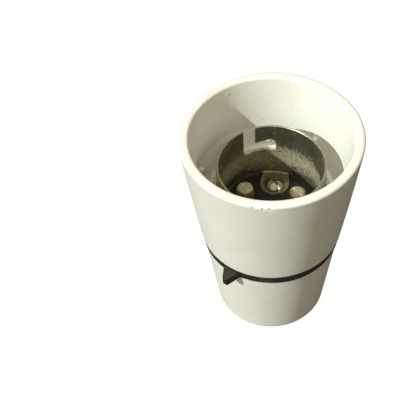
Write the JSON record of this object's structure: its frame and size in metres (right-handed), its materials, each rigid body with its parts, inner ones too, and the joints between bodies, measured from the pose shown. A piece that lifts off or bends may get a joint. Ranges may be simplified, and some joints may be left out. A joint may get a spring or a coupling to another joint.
{
  "type": "bayonet lamp holder",
  "caption": "Bayonet lamp holder with a flared skirt, slotted metal sleeve, sprung contact plungers, lugged ring and screw-on cord cap.",
  "frame": {"origin": "centre of the cap's end, on the surface that the holder stands on", "axes": "+Z out of the lamp mouth, X through the two plungers, Y through the two sleeve screws"},
  "size_m": [0.0384, 0.0384, 0.0543],
  "materials": {
    "cream_plastic": "moulded, soft sheen",
    "black_plastic": "moulded, dull",
    "block_plastic": "moulded, dull",
    "sleeve_metal": "dull plated sheet",
    "contact_brass": "dull",
    "spring_steel": "drawn wire",
    "screw_steel": "plated"
  },
  "bodies": {
    "cap": {"cap": "cream_plastic"},
    "interior": {"contact_block": "block_plastic", "terminal_block": "block_plastic", "bayonet_sleeve": "sleeve_metal", "sleeve_screw_front": "screw_steel", "sleeve_screw_back": "screw_steel", "sleeve_nut_front": "screw_steel", "sleeve_nut_back": "screw_steel", "terminal_post_left": "contact_brass", "terminal_post_right": "contact_brass", "terminal_screw_left": "screw_steel", "terminal_screw_right": "screw_steel", "plunger_spring_left": "spring_steel", "plunger_spring_right": "spring_steel"},
    "bell": {"bell_skirt": "cream_plastic"},
    "lock_ring": {"lock_ring": "black_plastic"},
    "plunger_left": {"plunger_left": "contact_brass"},
    "plunger_right": {"plunger_right": "contact_brass"}
  },
  "joints": [
    {"name": "interior_lift", "type": "slide", "parent": "cap", "child": "interior", "axis": [0, 0, 1], "range_m": [0, 0.00625]},
    {"name": "bell_unscrew", "type": "hinge", "parent": "interior", "child": "bell", "pos_m": [0, 0, 0.0259], "axis": [0, 0, 1], "range_deg": [0, 900]},
    {"name": "lock_ring_turn", "type": "hinge", "parent": "cap", "child": "lock_ring", "pos_m": [0, 0, 0.0248], "axis": [0, 0, 1], "continuous": true},
    {"name": "plunger_left_press", "type": "slide", "parent": "interior", "child": "plunger_left", "axis": [0, 0, -1], "range_m": [0, 0.004], "stiffness_N_per_m": 900, "springref_m": -0.0005, "deforming": ["plunger_spring_left"]},
    {"name": "plunger_right_press", "type": "slide", "parent": "interior", "child": "plunger_right", "axis": [0, 0, -1], "range_m": [0, 0.004], "stiffness_N_per_m": 900, "springref_m": -0.0005, "deforming": ["plunger_spring_right"]}
  ],
  "couplings": [
    {"joint": "bell_unscrew", "follows": "interior_lift", "rad_per_m": 2513.3}
  ]
}
